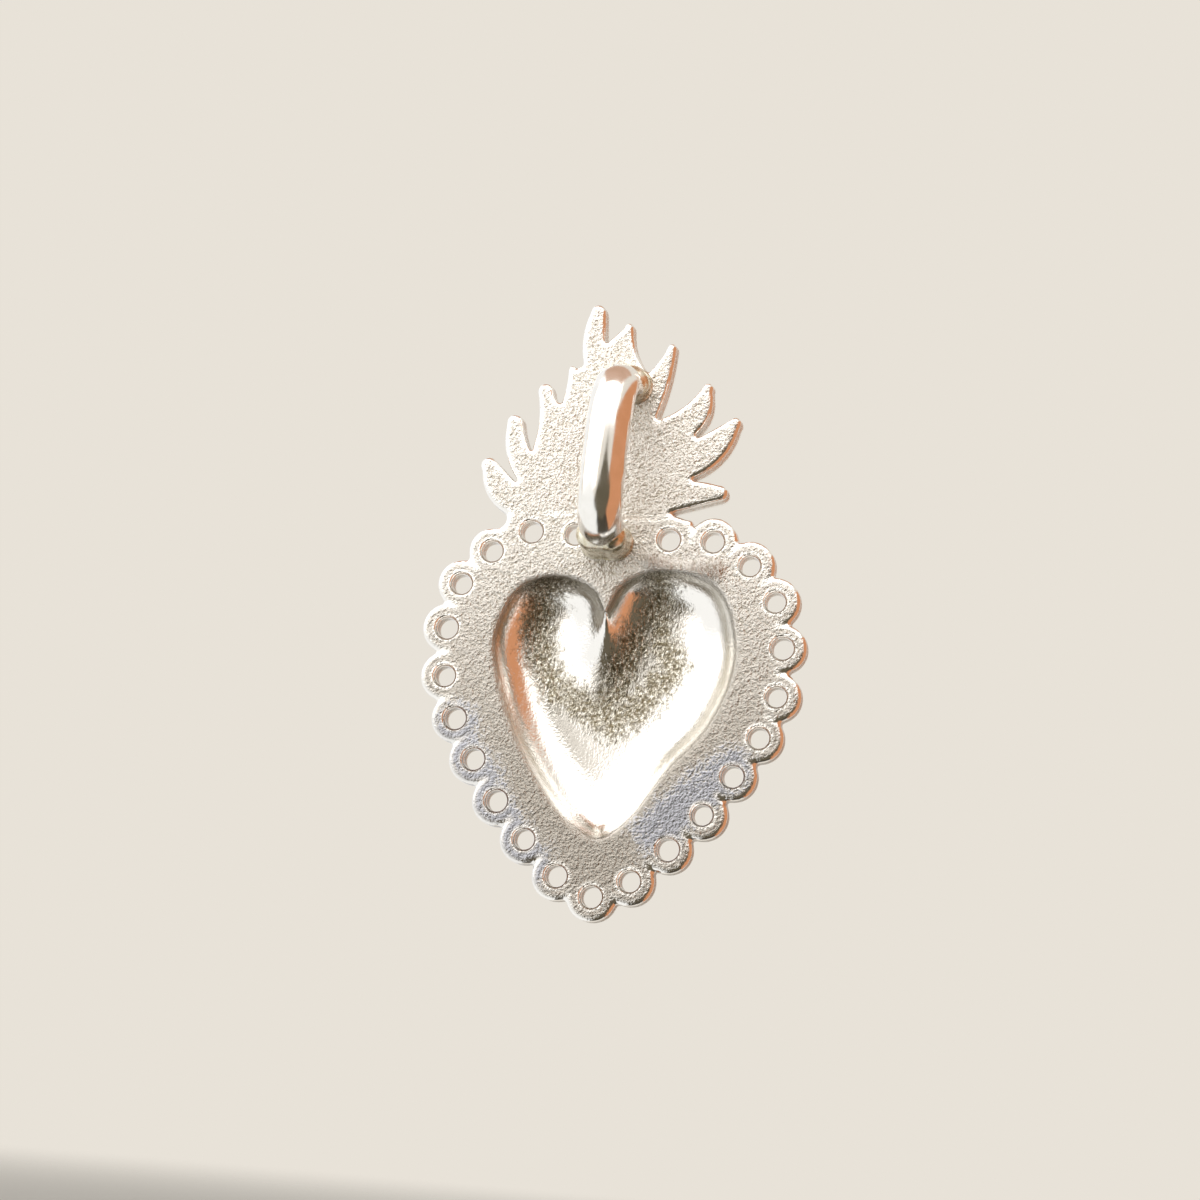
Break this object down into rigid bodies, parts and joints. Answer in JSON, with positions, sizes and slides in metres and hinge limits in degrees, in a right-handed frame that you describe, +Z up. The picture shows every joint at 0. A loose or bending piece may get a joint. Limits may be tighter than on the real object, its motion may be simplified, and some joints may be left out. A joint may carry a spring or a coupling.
{
  "type": "sacred heart medal",
  "caption": "Flaming heart pendant: a cast silver plate with a pierced, scalloped border, a puffed hollow heart, a crown of flames and a soldered wire bail on the back.",
  "frame": {"origin": "middle of the opening under the bail, half way between its feet and half way between the back of the plate and the inside of the wire", "axes": "+Z up through the flames, +Y towards the puffed front of the heart, -Y towards the flat back that carries the bail, X across the width"},
  "size_m": [0.0183, 0.0071, 0.0294],
  "materials": {
    "cast_silver": "as cast, fine grain, with the hollow heart polished",
    "polished_silver": "mirror polished",
    "silver_solder": "fused, smooth, slightly yellow"
  },
  "bodies": {
    "root": {"heart_medal_casting": "cast_silver", "bail_wire": "polished_silver", "solder_joint_lower": "silver_solder", "solder_joint_upper": "silver_solder"}
  },
  "joints": []
}
